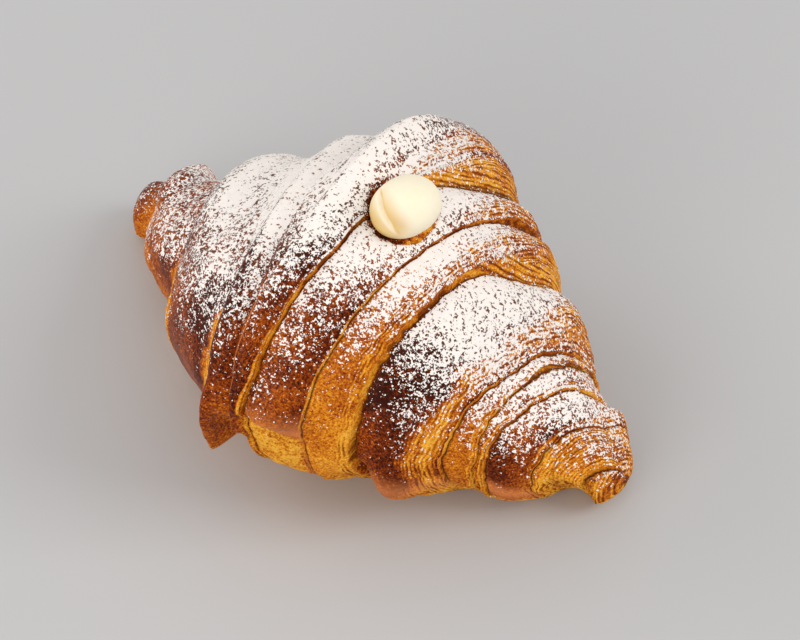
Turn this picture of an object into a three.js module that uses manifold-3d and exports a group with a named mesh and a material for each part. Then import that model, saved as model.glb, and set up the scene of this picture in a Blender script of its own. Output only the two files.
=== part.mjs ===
// Cream-filled croissant: a crescent of rolled, layered dough with a dollop of
// cream standing in the hole that it was filled through.
// Millimetres, +Z up. X runs along the pastry, the front faces -Y, and the
// pastry rests on the plane Z = 0 below the middle of its belly.

import * as THREE from 'three';
import { mergeVertices } from 'three/addons/utils/BufferGeometryUtils.js';
import Module from 'manifold-3d';

const wasm = await Module();
wasm.setup();

const RADIANS = Math.PI / 180;

// Smooth body: a long ellipse in section, widest at the belly and round at both tips
const LEFT_END = -78.2;
const RIGHT_END = 75.6;
const BELLY_X = 4.3;
const BELLY_HALF_WIDTH = 47.9;
const BELLY_FLATNESS = 0.78;
const TIP_FLATNESS = 0.95;
const TIP_HALF_WIDTH = 8;
const SEAT = 0.96;
const LEFT_TAPER = { shoulder: 1.1, hollow: 1.46, tip: 7.1 };
const RIGHT_TAPER = { shoulder: 1.65, hollow: 1.56, tip: 8.2 };
const TIP_ROUNDING = 0.9;

// The two halves bend back into a crescent, the left one rising a little towards its
// end, and the nub or knob at each end droops forward again
const LEFT_BEND = 17.9;
const RIGHT_BEND = 14.7;
const LEFT_RISE = 3.6;
const NUB = { from: -62, to: -75, forward: 3.3, drop: 3.4 };
const KNOB = { from: 66, to: 75, forward: 2.1, drop: 0 };

// Seams between the turns of dough, left to right. ridge is where the lip crosses
// the top and lean how far it swings to the left at the front. facing is the side
// that the step looks to, step its height and front the share of it left at the front,
// and run and twist lead from lip to foot.
const SEAMS = [
  { ridge: -66.0, lean: -4.0, facing: -1, step: 3.0, front: 1, run: 0.6, twist: 0 },
  { ridge: -41.2, lean: -8.2, facing: -1, step: 4.4, front: 1, run: 0.7, twist: 0 },
  { ridge: -12.3, lean: -11.7, facing: -1, step: 3.0, front: 1, run: 0.4, twist: 0 },
  { ridge: 2.2, lean: -5.4, facing: -1, step: 5.0, front: 0.45, run: 0.4, twist: 0 },
  { ridge: 13.8, lean: 2.6, facing: 1, step: 3.8, front: 0.7, run: 2.7, twist: 1.9 },
  { ridge: 26.4, lean: 4.4, facing: 1, step: 2.2, front: 1, run: 0.3, twist: 0 },
  { ridge: 33.1, lean: 3.5, facing: 1, step: 5.0, front: 0.9, run: 2.9, twist: 0.6 },
  { ridge: 51.1, lean: 5.2, facing: 1, step: 1.8, front: 1, run: 0.4, twist: 0 },
  { ridge: 54.3, lean: 3.3, facing: 1, step: 1.5, front: 1, run: 0.3, twist: 0 },
  { ridge: 57.9, lean: 5.2, facing: 1, step: 2.2, front: 1, run: 0.5, twist: 0 },
  { ridge: 64.3, lean: 3.4, facing: 1, step: 1.2, front: 1, run: 0.4, twist: 0 },
  { ridge: 70.6, lean: 1.6, facing: 1, step: 1.8, front: 1, run: 0.4, twist: 0 },
];
// Swell of each turn between its two seams, left to right, fuller beside the lip
const CROWNS = [0.4, 1.8, 2.4, 1.8, 1.2, 1.2, 0.8, 3.2, 0.4, 0.4, 1.4, 0.8, 0.4];
const CROWN_SKEW = 0.66;
// Share of a step that stands above the smooth body
const LIP_SHARE = 0.55;
// Seams fade out on the underside between these heights of the section's sine
const SEAM_FADE = [-0.97, -0.6];

// Slow unevenness of hand-rolled dough
const LUMP_HEIGHT = 0.45;
const LUMP_WAVES = [
  { along: 0.113, around: 2, shift: 0.6 },
  { along: 0.171, around: 3, shift: 2.1 },
  { along: 0.247, around: 5, shift: 4.0 },
];

// Local swells and hollows, placed along the pastry and by an angle in degrees that is
// 0 at the front, 90 on top and negative under the front
const FORMS = [
  // Pointed end of the outer strip, hanging at the front, and the tuck beside it
  { x: -1.5, halfLength: 4.5, top: 12, peak: -28, bottom: -37, height: 5.6 },
  { x: 7.0, halfLength: 8.5, top: -8, peak: -25, bottom: -80, height: -5.4 },
  // Ledge of the strip that carries the cream, and the hollow to its right
  { x: 18.5, halfLength: 7, top: 18, peak: -10, bottom: -20, height: 1.6 },
  { x: 30.0, halfLength: 6, top: -10, peak: -35, bottom: -80, height: -2.8 },
  // Pointed foot of the broad right turn, and the pinch under it
  { x: 39.0, halfLength: 6, top: 5, peak: -26, bottom: -45, height: 2.8 },
  { x: 45.0, halfLength: 6, top: -30, peak: -55, bottom: -80, height: -1.2 },
  // Notch in front of the right knob
  { x: 67.5, halfLength: 5, top: 0, peak: -35, bottom: -100, height: -4.2 },
  // Full shoulders at the back of the top turn and of the broad left and right turns
  { x: 4.0, halfLength: 8, top: 150, peak: 112, bottom: 60, height: 1.3 },
  { x: -38.0, halfLength: 6, top: 160, peak: 118, bottom: 70, height: 1.4 },
  { x: 46.0, halfLength: 7, top: 179, peak: 145, bottom: 100, height: 1.3 },
];

// Mesh density
const AROUND = 60;
const RING_PITCH = 2.7;
const LEAST_RINGS = 3;
const TIP_RINGS = 5;

// Cream: two lobes of the dollop and its base in the hole, each a centre and its three radii
const CREAM_LOBES = [
  { at: [20.8, -1.0, 73.6], radii: [6.9, 6.9, 6.3] },
  { at: [18.0, -2.8, 70.6], radii: [5.7, 5.7, 5.7] },
  { at: [18.3, 0.5, 69.5], radii: [6.1, 6.2, 6.0] },
];
const CREAM_DETAIL = [28, 18];
const CREAM_GAP = 0.35;
// Mouth of the filling hole, a little wider than the dollop
const HOLE = { at: [18.2, 0.0, 71.2], radii: [8.2, 11.0, 5.6] };

const FLOOR_BLOCK = { width: 240, depth: 80 };

const CRUST_COLOUR = 0xb5702a;
const CREAM_COLOUR = 0xfbeec6;

const lerp = THREE.MathUtils.lerp;
const smoothstep = THREE.MathUtils.smoothstep;

// Smooth body

function halfWidth(x) {
  const left = x < BELLY_X;
  const taper = left ? LEFT_TAPER : RIGHT_TAPER;
  const end = left ? LEFT_END : RIGHT_END;
  const reach = Math.min(1, (x - BELLY_X) / (end - BELLY_X));
  const swell = Math.pow(1 - Math.pow(reach, taper.shoulder), taper.hollow);
  return taper.tip + (BELLY_HALF_WIDTH - taper.tip) * swell;
}

// Rounds a tip off to a point: 0 at the very end, 1 past the rounding
function tipRound(distance, tip) {
  const inside = THREE.MathUtils.clamp(distance / (TIP_ROUNDING * tip), 0, 1);
  return Math.sqrt(1 - (1 - inside) * (1 - inside));
}

// Share of an end's droop at one place, 0 before it starts and 1 where it is whole
function droopShare(x, droop) {
  return smoothstep((x - droop.from) / (droop.to - droop.from), 0, 1);
}

// Centre and half sizes of the body's section at one place along it
function section(x) {
  const width = halfWidth(x);
  const slimness = (BELLY_HALF_WIDTH - width) / (BELLY_HALF_WIDTH - TIP_HALF_WIDTH);
  const height = width * lerp(BELLY_FLATNESS, TIP_FLATNESS, THREE.MathUtils.clamp(slimness, 0, 1));
  const round = tipRound(x - LEFT_END, LEFT_TAPER.tip) * tipRound(RIGHT_END - x, RIGHT_TAPER.tip);
  const bend = x < 0 ? LEFT_BEND * (x / LEFT_END) ** 2 : RIGHT_BEND * (x / RIGHT_END) ** 2;
  const leftReach = Math.max(0, (BELLY_X - x) / (BELLY_X - LEFT_END));
  const nub = droopShare(x, NUB);
  const knob = droopShare(x, KNOB);
  return {
    y: bend - nub * NUB.forward - knob * KNOB.forward,
    z: SEAT * height + LEFT_RISE * leftReach ** 3 - nub * NUB.drop - knob * KNOB.drop,
    width: width * round,
    height: height * round,
    round,
  };
}

// Relief on the body

function lumps(x, angle) {
  let sum = 0;
  for (const wave of LUMP_WAVES) {
    sum += Math.sin(wave.along * x + wave.shift) * Math.sin(wave.around * angle + 2 * wave.shift);
  }
  return LUMP_HEIGHT * sum;
}

// Angle in degrees from the front, up to half a turn above or below it
function degreesFromFront(angle) {
  const degrees = angle / RADIANS;
  return degrees > 180 ? degrees - 360 : degrees;
}

function localForms(x, angle) {
  const degrees = degreesFromFront(angle);
  let sum = 0;
  for (const form of FORMS) {
    const along = Math.max(0, 1 - ((x - form.x) / form.halfLength) ** 2);
    const above = 1 - smoothstep(degrees, form.peak, form.top);
    const below = smoothstep(degrees, form.bottom, form.peak);
    sum += form.height * along * Math.min(above, below);
  }
  return sum;
}

// Point on the crust where a leaning ring crosses an angle: 0 front, a quarter turn top
function crustPoint(ring, angle) {
  const cos = Math.cos(angle);
  const sin = Math.sin(angle);
  const x = THREE.MathUtils.clamp(ring.x - ring.lean * cos, LEFT_END, RIGHT_END);
  const body = section(x);
  const fade = smoothstep(sin, SEAM_FADE[0], SEAM_FADE[1]);
  const lift = lerp(ring.lift, ring.frontLift, smoothstep(cos, 0, 1));
  const relief = body.round * (fade * (lift + lumps(x, angle)) + localForms(x, angle));
  const normal = new THREE.Vector2(-cos * body.height, sin * body.width).normalize();
  return new THREE.Vector3(
    x,
    body.y - body.width * cos + relief * normal.x,
    body.z + body.height * sin + relief * normal.y,
  );
}

// Turns of dough

function ringAt(x, lean, lift, frontLift) {
  return { x, lean, lift, frontLift };
}

// The two edges of a seam, left to right: lip and foot of its step
function seamEdges(seam) {
  const rise = LIP_SHARE * seam.step;
  const drop = rise - seam.step;
  const lip = ringAt(seam.ridge, seam.lean, rise, rise * seam.front);
  const footX = seam.ridge + seam.facing * seam.run;
  const foot = ringAt(footX, seam.lean + seam.twist, drop, drop * seam.front);
  return seam.facing < 0 ? [foot, lip] : [lip, foot];
}

// Swell across a turn, fuller on the side that its lip is on: -1 left, 0 both, 1 right
function crownShare(share, lipSide) {
  let skewed = share;
  if (lipSide < 0) {
    skewed = share ** CROWN_SKEW;
  } else if (lipSide > 0) {
    skewed = 1 - (1 - share) ** CROWN_SKEW;
  }
  return 4 * skewed * (1 - skewed);
}

// Ring part of the way across a turn, from its left edge to its right edge
function turnRing(left, right, crown, lipSide, share) {
  const rise = smoothstep(share, 0, 1);
  const swell = crown * crownShare(share, lipSide);
  return ringAt(
    lerp(left.x, right.x, share),
    lerp(left.lean, right.lean, share),
    lerp(left.lift, right.lift, rise) + swell,
    lerp(left.frontLift, right.frontLift, rise) + swell,
  );
}

function turnRings(left, right, crown, lipSide) {
  const count = Math.max(LEAST_RINGS, Math.round((right.x - left.x) / RING_PITCH));
  const rings = [];
  for (let i = 1; i < count; i += 1) {
    rings.push(turnRing(left, right, crown, lipSide, i / count));
  }
  return rings;
}

// Rings of an end turn, closer together towards the tip
function tipRings(tip, edge, crown) {
  const rings = [];
  for (let i = 1; i < TIP_RINGS; i += 1) {
    const share = 1 - Math.cos((i / TIP_RINGS) * (Math.PI / 2));
    rings.push(turnRing(tip, edge, crown, 0, share));
  }
  return rings;
}

const LEFT_TIP = ringAt(LEFT_END, 0, 0, 0);
const RIGHT_TIP = ringAt(RIGHT_END, 0, 0, 0);

function crustRings() {
  const edges = SEAMS.map(seamEdges);
  const last = edges.length - 1;
  const rings = tipRings(LEFT_TIP, edges[0][0], CROWNS[0]);
  for (let i = 0; i <= last; i += 1) {
    rings.push(...edges[i]);
    if (i < last) {
      const lipSide = (SEAMS[i].facing + SEAMS[i + 1].facing) / 2;
      rings.push(...turnRings(edges[i][1], edges[i + 1][0], CROWNS[i + 1], lipSide));
    }
  }
  rings.push(...tipRings(RIGHT_TIP, edges[last][1], CROWNS[last + 1]).reverse());
  return rings;
}

// Closed skin through the rings, with a point at each tip
function crustGeometry() {
  const rings = crustRings();
  const points = [];
  const triangles = [];
  for (const ring of rings) {
    for (let j = 0; j < AROUND; j += 1) {
      points.push(crustPoint(ring, (j / AROUND) * 2 * Math.PI));
    }
  }
  const leftTip = points.push(crustPoint(LEFT_TIP, 0)) - 1;
  const rightTip = points.push(crustPoint(RIGHT_TIP, 0)) - 1;
  const lastRing = (rings.length - 1) * AROUND;
  for (let j = 0; j < AROUND; j += 1) {
    const next = (j + 1) % AROUND;
    triangles.push(leftTip, j, next);
    triangles.push(lastRing + j, rightTip, lastRing + next);
    for (let start = 0; start < lastRing; start += AROUND) {
      const a = start + j;
      const b = a + AROUND;
      const c = start + AROUND + next;
      const d = start + next;
      triangles.push(a, b, c, a, c, d);
    }
  }
  const geometry = new THREE.BufferGeometry().setFromPoints(points);
  geometry.setIndex(triangles);
  return geometry;
}

// Booleans

function toSolid(source) {
  const geometry = source.clone();
  geometry.deleteAttribute('normal');
  geometry.deleteAttribute('uv');
  const merged = mergeVertices(geometry, 1e-3);
  return new wasm.Manifold(new wasm.Mesh({
    numProp: 3,
    vertProperties: new Float32Array(merged.attributes.position.array),
    triVerts: new Uint32Array(merged.index.array),
  }));
}

function toGeometry(solid) {
  const mesh = solid.getMesh();
  const geometry = new THREE.BufferGeometry();
  geometry.setAttribute('position', new THREE.BufferAttribute(mesh.vertProperties, 3));
  geometry.setIndex(new THREE.BufferAttribute(mesh.triVerts, 1));
  geometry.computeVertexNormals();
  return geometry;
}

// Ellipsoid standing on its own place, made larger all round by a margin
function ellipsoid(lobe, margin) {
  const geometry = new THREE.SphereGeometry(1, ...CREAM_DETAIL);
  geometry.rotateX(Math.PI / 2);
  geometry.scale(...lobe.radii.map((radius) => radius + margin));
  geometry.translate(...lobe.at);
  return toSolid(geometry);
}

function unionOf(solids) {
  return solids.reduce((whole, solid) => whole.add(solid));
}

// Pieces

function croissantGeometry() {
  const floor = new THREE.BoxGeometry(FLOOR_BLOCK.width, FLOOR_BLOCK.width, FLOOR_BLOCK.depth);
  floor.translate(0, 0, -FLOOR_BLOCK.depth / 2);
  const seat = unionOf(CREAM_LOBES.map((lobe) => ellipsoid(lobe, CREAM_GAP)));
  const pastry = toSolid(crustGeometry())
    .subtract(toSolid(floor))
    .subtract(ellipsoid(HOLE, 0))
    .subtract(seat);
  return toGeometry(pastry);
}

function creamGeometry() {
  return toGeometry(unionOf(CREAM_LOBES.map((lobe) => ellipsoid(lobe, 0))));
}

function namedMesh(name, geometry, colour, roughness) {
  const material = new THREE.MeshStandardMaterial({ color: colour, roughness, metalness: 0 });
  const mesh = new THREE.Mesh(geometry, material);
  mesh.name = name;
  return mesh;
}

const pastry = new THREE.Group();
pastry.add(namedMesh('croissant', croissantGeometry(), CRUST_COLOUR, 0.5));
pastry.add(namedMesh('cream', creamGeometry(), CREAM_COLOUR, 0.4));

export default pastry;
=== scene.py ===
import itertools
import math

import bmesh
import bpy
import numpy as np
from mathutils import Matrix, Vector
from mathutils.bvhtree import BVHTree


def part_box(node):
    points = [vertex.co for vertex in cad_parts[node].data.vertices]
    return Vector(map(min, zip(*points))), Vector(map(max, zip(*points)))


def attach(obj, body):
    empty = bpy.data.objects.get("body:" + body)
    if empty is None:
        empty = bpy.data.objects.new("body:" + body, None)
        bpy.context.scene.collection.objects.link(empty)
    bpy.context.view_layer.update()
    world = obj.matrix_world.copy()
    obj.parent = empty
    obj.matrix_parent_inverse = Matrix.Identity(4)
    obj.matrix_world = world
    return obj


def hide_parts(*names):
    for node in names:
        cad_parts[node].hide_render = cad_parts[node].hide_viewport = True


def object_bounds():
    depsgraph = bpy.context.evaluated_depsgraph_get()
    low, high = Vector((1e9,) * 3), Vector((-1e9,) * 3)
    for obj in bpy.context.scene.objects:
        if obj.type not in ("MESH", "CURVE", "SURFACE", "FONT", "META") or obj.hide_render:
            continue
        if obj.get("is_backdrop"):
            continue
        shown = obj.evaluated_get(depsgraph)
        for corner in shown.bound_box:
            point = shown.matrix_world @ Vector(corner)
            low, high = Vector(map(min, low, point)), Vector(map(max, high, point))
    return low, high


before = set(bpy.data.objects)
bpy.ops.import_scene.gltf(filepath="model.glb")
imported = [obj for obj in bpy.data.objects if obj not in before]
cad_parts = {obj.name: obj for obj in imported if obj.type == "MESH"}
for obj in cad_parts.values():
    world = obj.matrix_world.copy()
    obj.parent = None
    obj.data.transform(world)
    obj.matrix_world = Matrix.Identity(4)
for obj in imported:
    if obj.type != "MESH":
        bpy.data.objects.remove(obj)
CAD_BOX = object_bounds()

MM = 0.001
SEED = 20
TINY = 1e-6

# Smooth body, as in the solids: a long ellipse in section, round at both tips
LEFT_END, RIGHT_END = (corner[0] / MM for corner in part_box("croissant"))
BELLY_X = 4.3
BELLY_HALF_WIDTH = 47.9
BELLY_FLATNESS = 0.78
TIP_FLATNESS = 0.95
TIP_HALF_WIDTH = 8
SEAT = 0.96
LEFT_TAPER = {"shoulder": 1.1, "hollow": 1.46, "tip": 7.1}
RIGHT_TAPER = {"shoulder": 1.65, "hollow": 1.56, "tip": 8.2}
TIP_ROUNDING = 0.9
LEFT_BEND = 17.9
RIGHT_BEND = 14.7
LEFT_RISE = 3.6
NUB = {"start": -62, "end": -75, "forward": 3.3, "drop": 3.4}
KNOB = {"start": 66, "end": 75, "forward": 2.1, "drop": 0}


def seam(ridge, lean, facing, step, run, undercut, groove, twist=0, lean_back=None, gape=None,
         heal=None):
    """Seam where the lip of one turn overlaps another.

    ridge is where the lip crosses the top, lean how far it swings left at the front, and
    facing the side that the step faces. step and run are its height and length at the front,
    the top and the back. The foot hides under the lip by undercut, in a groove, and twist
    turns it away at the front. gape opens the seam at one angle, and heal closes its front
    below another.
    """
    lean_back = lean if lean_back is None else lean_back
    return locals()


# Seams, left to right: ridge, lean, facing, step, run, undercut, groove and what else they have
SEAMS = (
    seam(-66, -4, -1, (3, 2, 2.4), (0.6, 3, 1.4), 0.5, 0.3),
    seam(-41.2, -8.2, -1, (4.4, 2.8, 3.6), (0.7, 4.5, 2.4), 0.8, 0.2),
    seam(-12.3, -11.7, -1, (3, 0.6, 2.6), (0.4, 7, 2.4), 0.8, 0.3),
    seam(2.2, -5.4, -1, (2.3, 0.4, 4.2), (0.4, 7, 2.2), 1, 0.4),
    seam(13.8, 2.6, 1, (1.4, 1, 3.8), (0.9, 0.3, 6), 0.6, 0.5, twist=0.7),
    seam(26.4, 4.4, 1, (0.9, 0.5, 0.8), (0.3, 0.2, 0.4), 0.4, 0.15,
         gape=(137, 17, 0.9), heal=4),
    seam(33.9, 3.5, 1, (3, 2, 3.6), (1.5, 0.4, 5), 0.8, 0.8, twist=1.3),
    seam(51.1, 5.2, 1, (1.1, 0.8, 0.8), (0.3, 0.2, 0.4), 0.4, 0.3),
    seam(53.4, 2.4, 1, (0.7, 0.6, 0.7), (0.3, 0.2, 0.3), 0.4, 0.3, lean_back=4.6,
         gape=(91, 14, 1)),
    seam(57.9, 5.2, 1, (1.2, 0.8, 0.8), (0.3, 0.2, 0.3), 0.4, 0.2),
    seam(65.2, 4.3, 1, (0.35, 0.3, 0.3), (0.2, 0.2, 0.2), 0.2, 0.1),
    seam(75.4, 6.2, 1, (2.2, 1.6, 1), (0.4, 0.3, 0.3), 1.2, 1, lean_back=0.6),
)

# Step of a seam, from its lip to its foot
LIP_SHARE = 0.55
STEP_FALL = (1, 1, 0.15, 0)
LIP_NOSE = 0.35
ROLL_WIDTH = 1.2
ROLL_DROP = 0.3
# Where seams fade out, heal and gape
SEAM_FADE = (-0.97, -0.6)
HEAL_REACH = (-12, 8)
GAPE = {"lip": 0.6, "foot": 0.5, "undercut": 1.4, "groove": 0.6}


def turn(crown, tone, left, right, dust, lean=0, hem=None, browner=0):
    """One turn of the rolled dough between two seams.

    crown is its swell, and tone runs from 0, golden, to 1, mahogany. left and right are
    the widths of its golden layered edges at the front, the top and the back. dust holds
    how much flatter it looks to sugar on its slopes and on its top, and the most that sugar
    hides. lean tips that at the front, towards its right edge. Below the angle hem its skin
    is paler and carries a painted sheen, and browner is how much darker it is above its front.
    """
    return locals()


# Turns, left to right
TURNS = (
    turn(0.4, 0.55, (0, 0, 0), (2, 1, 1), dust=(0, 0, 0.16)),
    turn(1.8, 0.58, (1, 0, 0), (11, 0, 0), dust=(0.05, -0.24, 0.62)),
    turn(2.4, 0.78, (7, 0, 0), (9, 0, 0), dust=(-0.12, 0, 0.99)),
    turn(1.8, 0.54, (0.5, 0, 0), (1, 0, 0), dust=(-0.33, 0, 1), browner=0.3),
    turn(1.2, 0.81, (0.5, 0, 0), (0.8, 0.3, 9), dust=(-0.37, -0.04, 1)),
    turn(1.2, 0.70, (0.4, 0.3, 2), (0.5, 0.2, 6), dust=(-0.27, 0.02, 0.97), hem=13),
    turn(0.8, 0.34, (0.4, 0.2, 1.2), (2.4, 4, 9), dust=(-0.42, 0, 0.98)),
    turn(2.7, 0.86, (0.5, 0.4, 2), (7, 5, 12), dust=(-0.08, 0.20, 0.95), lean=0.26, hem=-8),
    turn(0.2, 0.38, (0.4, 0.4, 1), (1.2, 1, 3), dust=(-0.04, 0.22, 0.88), browner=0.24),
    turn(0.2, 0.42, (0.4, 0.4, 1), (1.2, 1.2, 3), dust=(-0.04, 0.12, 0.93), browner=0.22),
    turn(0.9, 0.66, (0.3, 0.3, 1), (0.6, 1.2, 5), dust=(-0.07, -0.04, 0.93), hem=-4),
    turn(0.3, 0.34, (9, 9, 9), (3, 3, 3), dust=(-0.08, 0, 0.50)),
    turn(0.9, 0.56, (0.4, 0.4, 0.6), (9, 4, 4), dust=(0, 0, 0.7)),
)
CROWN_SKEW = 0.66

LUMP_HEIGHT = 0.45
LUMP_WAVES = ((0.113, 2, 0.6), (0.171, 3, 2.1), (0.247, 5, 4))

# Local swells and hollows: place along the pastry, half length, the angles in degrees
# where it starts, peaks and ends (0 front, 90 top), and its height
FORM_ROWS = (
    (-1.6, 4.4, 16, -25, -36, 7),
    (3.8, 6.5, -1, -25, -80, -7),
    (0, 6, -32, -46, -95, -3.2),
    (16.5, 8, 20, 5, 0, 2.2),
    (17.6, 9.5, -4, -28, -70, 2.5),
    (30, 6, -10, -35, -80, -2.8),
    (38, 5, 5, -25, -45, 3),
    (47, 6, -14, -38, -80, -0.8),
    (56, 4, 0, -30, -60, 1),
    (67.6, 5, 24, -12, -100, -6.5),
    (3, 7.5, 140, 108, 60, 3.4),
    (-11, 9, 160, 110, 60, 1.4),
    (-37, 8, 160, 106, 50, 2.3),
    (-63, 5, 140, 80, 40, 1.4),
    (-73, 4, 45, 8, -40, 1.3),
    (46, 7, 179, 145, 100, 1.9),
    (29, 10, 176, 152, 120, 1),
    (9.5, 6, 175, 150, 125, -0.7),
    (-57, 6, 178, 132, 90, -1.9),
    (61.6, 4, 179, 150, 105, -1.2),
    (-22, 10, 8, -16, -60, -0.8),
    (63, 5, -38, -62, -110, -1.3),
    (67.7, 4, 179, 149, 110, 0.9),
)

# Hems where a turn's skin ends above the tucked-in base: place, half length, the angle of
# the hem, its slope along the pastry in degrees, and how far the base stands back
HEM_ROWS = (
    (16.5, 7.5, 1.5, -0.6, 0.8),
    (6.2, 5.4, -6.5, 0, 0.8),
    (36, 6, -30, 0, 1),
)
# Fullness of a hem along its length, and the bare base below it
HEM_FULLNESS = 1.6
HEM_HEIGHT = 4.5
HEM_FLOOR = (-75, -45)
HEM_SMOOTHING = 0.8

# Unevenness, each a row of noises with their height, size and seed
SKIN_WAVES = ((0.22, 8, 3), (0.10, 3.6, 4), (0.05, 1.7, 5))
CRUMB_WAVES = ((1, 2.4, 7), (0.6, 1.1, 8))
LAYER_WAVES = ((1, 1, 6),)
RAGGED_WAVES = ((0.25, 6, 9), (0.125, 2, 10))
WANDER_WAVES = ((0.45, 11, 41), (0.22, 3.4, 42))
FLAKE_WAVES = ((0.22, 5, 43), (0.14, 1.9, 44))
TONE_WAVES = ((0.22, 11, 1),)
DRIFT_WAVES = ((0.09, 9, 11), (0.06, 3, 12))
PATCH_WAVES = ((1, 6, 13),)
CLUMP_WAVES = ((1, 1.5, 14), (0.8, 0.7, 15))
CREAM_WAVES = ((0.10, 4.5, 31),)
# Size of the layers in their noise, and how far apart neighbours take theirs
LAYER_SIZE = (0.8, 30, 1)
STRIPS_APART = 37
SEAMS_APART = 50.5
EDGES_APART = 17

# Layers and bare crumb
LAYER_DEPTH = 0.24
CRUMB_DEPTH = 0.30
UNDERSIDE = (-0.62, -0.25)
RIGHT_LEAD = 2
STEP_LAYERS = (0.02, 0.2)

# How golden the crust is, from 0 to 1, and what the front adds to layers
GOLD = {"turn": (0.63, 0.09), "step": (0.70, 0.10), "layer": 0.16, "base": 0.83,
        "crumb": 0.14, "rim": (0.2, 0.7), "hem": 0.22}
# Browning with height, of a turn and of the whole top
BROWNER_RISE = (0.05, 0.6)
TOP_RISE = (0.5, 1)
TOP_TONE = 0.15
# Painted highlight along a lip, and paler skin with a painted sheen at a hem
PALE_RIM = (0.3, 0.7)
PALE_HEM = 16
PALE_LOWEST = -100
# Painted shade in the crease at the foot of a step, and layer lines that are faint at the front
CREASE_START = (0.74, 0.92)
FAINT_LINES = 0.2
LINES_RISE = (20, 60)

# Filling hole, with a bare rim painted dark as the dollop's shadow that turns to gold along the pastry, and
# a well that gets painted shade
HOLE = {"at": (17.5, 0.4), "lowest": 60, "radii": (7.2, 9.5), "edge": (0.94, 1.03),
        "rim": 1.1, "well": 0.6, "depth": 4, "shadow_to_gold": (20.5, 24)}

# Lobes of the dollop and the base that fills the hole: centre and radii
CREAM_LOBES = (
    ((20.8, -1, 73.6), (6.9, 6.9, 6.3)),
    ((18, -2.8, 70.6), (5.7, 5.7, 5.7)),
)
CREAM_BASE = ((18.3, 0.5, 69.5), (6.1, 6.2, 6))
CREAM_MIDDLE = (19.3, -1.8, 71.1)
CREAM_REACH = 20.0
BASE_ROUNDING = 2
# Crease between the lobes, sharp at one end, with painted shade in it
CREAM_CREASE = {"from": (19, -6.5, 75), "fade": (2.5, 7), "rounding": (0.3, 3.5),
                "depth": 0.6, "width": 0.4, "shade": 0.3}
# Direction of the painted light on the cream, and how far round from it painted shade turns the cream
# buttery yellow
CREAM_PALE_WAY = (0.39, 0.83, 0.40)
CREAM_PALE_TURN = (-0.95, -0.15)

# Ways that falling sugar takes past the lips above
SIFT_LEANS = ((0, 0), (0.3, 0), (-0.3, 0), (0, 0.3), (0, -0.3))
SIFT_REACH = 20
SIFT_LOWEST = -0.3
SIFT_START = 0.25
SHADE_POWER = 1.5
# Share of the crust that sugar hides, by how far up it faces
STEEPNESS = (-0.25, 0, 0.1, 0.2, 0.3, 0.4, 0.5, 0.6, 0.7, 0.8, 0.9, 1)
SUGAR_COVER = (0, 0.01, 0.02, 0.07, 0.18, 0.29, 0.42, 0.60, 0.77, 0.90, 0.97, 0.985)
PATCH_RISE = (0, 0.7)
PATCH_LOSS = 0.06
# Where along the pastry seams come out of the sugar, and where it bridges them
DUSTED_SEAMS = (4, 14)
BRIDGED_SEAMS = (-6, 0)
BRIDGE = 0.35
# How dry layered edges stay, and where a turn's lean tells
DRY = {"turn": 0.18, "front": 0.6, "step": 0.85}
WIDE_STEP = (1, 3)
BELOW_LIP = (0.05, 0.65)
LEAN_FRONT = (0, 0.5)

# Sugar's coat, with a veil under it and long clumps on left sides
POWDER_MEAN = 0.499
POWDER_SPREAD = 0.075
POWDER_SAMPLES = 20001
GRAIN_SPREAD = 0.30
SPECK_SIZE = 0.40
COAT_BORDER = 0.012
COAT_THIN = 0.7
VEIL = 0.2
VEIL_POWER = 3
EVEN_CLUMPS = (1, 1, 1)
SIDE_CLUMPS = (0.45, 1, 1)
SIDE_FACING = (0.25, 0.55)

# Loose sugar: name, shape of a grain, count, smallest and largest size, and seed of each kind
GRAIN_KINDS = (
    ("sugar_powder", "tetrahedron", 16000, (0.22, 0.40), 1),
    ("sugar_grains", "octahedron", 8000, (0.28, 0.52), 2),
)
# Weight of loose grains, with thin dust beside the coat
THIN_DUST = 0.07
THIN_FACING = (-0.1, 0.3)
SPECKLE_RISE = 1.4
SPECKLE_END = 1.1
# Clumps of grains, and how a grain lies on the crust
GRAIN_TRIES = 5
CLUMP_RISE = (-0.1, 0.7)
STRAY_SHARE = 0.06
GRAIN_STRETCH = (0.7, 1.3)
GRAIN_FLATTENING = 0.6
GRAIN_LIFT = 0.08

# Colours as sRGB values from 0 to 255, and ramps of them with their positions
CRUST_TONES = (
    (0, (50, 15, 5)),
    (0.2, (101, 36, 9)),
    (0.4, (152, 67, 14)),
    (0.6, (195, 107, 20)),
    (0.8, (224, 144, 34)),
    (1, (243, 180, 64)),
)
SUGAR_WHITE = (250, 242, 236)
LAYER_GAP = (104, 42, 8)
# Painted shade in creases and in the filling hole's well
CREASE_BROWN = (56, 19, 5)
# Paler skin with a painted sheen at hems, and a painted highlight along lips
HEM_TAN = (222, 136, 80)
VEIL_TAN = (222, 170, 128)
GRAIN_TINTS = ((0.3, (242, 237, 233)), (0.7, (250, 248, 246)))
# Cream from painted shade at 0 to painted light at 1
CREAM_TINTS = ((0, (222, 187, 117)), (1, (252, 240, 214)))
FLOOR_TINTS = ((0.3, (190, 190, 191)), (0.7, (196, 196, 197)))

# Lines of the stacked layers, and the squash and amount of their noises
LAYER_PITCH = 0.6
LAYER_WARP = ((0.22, 0.045, 1), 1.6)
LAYER_BREAKS = ((1.6, 0.22, 1), 3)

# Density of the meshes
RING_PITCH = 0.47
FEWEST_RINGS = 5
CLIFF_RINGS = 7
TIP_RINGS = 14
FINE_ARC = (-50, 230)
FINE_SEGMENTS = 180
COARSE_SEGMENTS = 15
CREAM_SUBDIVISIONS = 6
CREAM_HALVINGS = 26

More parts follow.
